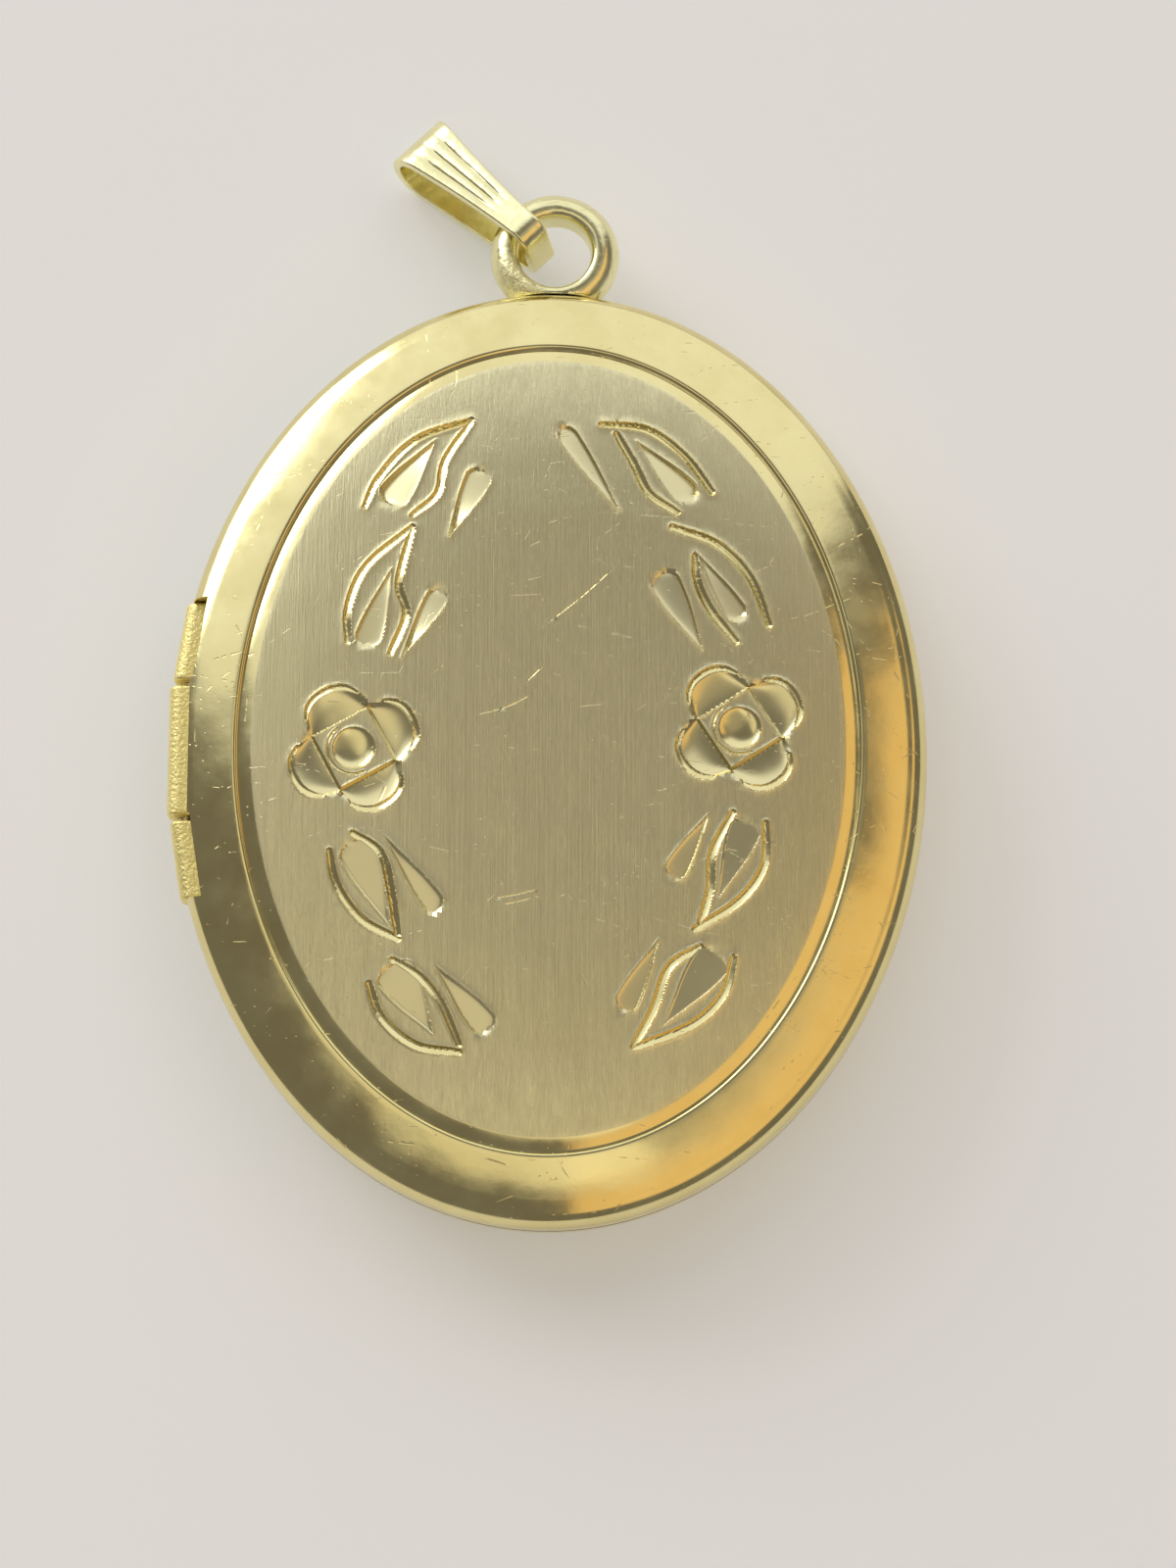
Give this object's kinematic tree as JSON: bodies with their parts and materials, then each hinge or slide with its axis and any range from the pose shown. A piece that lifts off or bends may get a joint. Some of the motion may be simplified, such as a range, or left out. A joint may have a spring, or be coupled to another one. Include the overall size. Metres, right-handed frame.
{
  "type": "locket",
  "caption": "Oval hinged photo locket with an engraved front, a picture frame in each half, a soldered hanging ring and a fluted bail.",
  "frame": {"origin": "centre of the flat back panel, which the closed locket rests on", "axes": "+Z out of the front cover, +Y towards the hanging ring, hinge on the -X side"},
  "size_m": [0.0301, 0.0464, 0.0056],
  "materials": {
    "satin_gold": "polished rim, satin brushed and bright-cut engraved panel",
    "polished_gold": "polished",
    "grainy_gold": "fine matte grain",
    "inner_gold": "bright rolled",
    "pin_wire": "drawn wire",
    "acetate": "clear, glossy",
    "picture_card": "matte card"
  },
  "bodies": {
    "back": {"back_cover": "polished_gold", "back_bezel": "inner_gold", "back_photo_frame": "inner_gold", "back_window": "acetate", "back_photo_card": "picture_card", "hinge_knuckle_top": "grainy_gold", "hinge_knuckle_bottom": "grainy_gold", "hinge_pin": "pin_wire", "hanging_ring": "polished_gold"},
    "front": {"front_cover": "satin_gold", "front_bezel": "inner_gold", "front_photo_frame": "inner_gold", "front_window": "acetate", "front_photo_card": "picture_card", "hinge_knuckle_middle": "grainy_gold"},
    "bail": {"bail": "polished_gold"}
  },
  "joints": [
    {"name": "cover_hinge", "type": "hinge", "parent": "back", "child": "front", "pos_m": [-0.01437, 0, 0.0028], "axis": [0, -1, 0], "range_deg": [0, 180]},
    {"name": "bail_swing", "type": "hinge", "parent": "back", "child": "bail", "pos_m": [0.0002, 0.02095, 0.0028], "axis": [0, 0, 1], "range_deg": [-119, 31]}
  ]
}
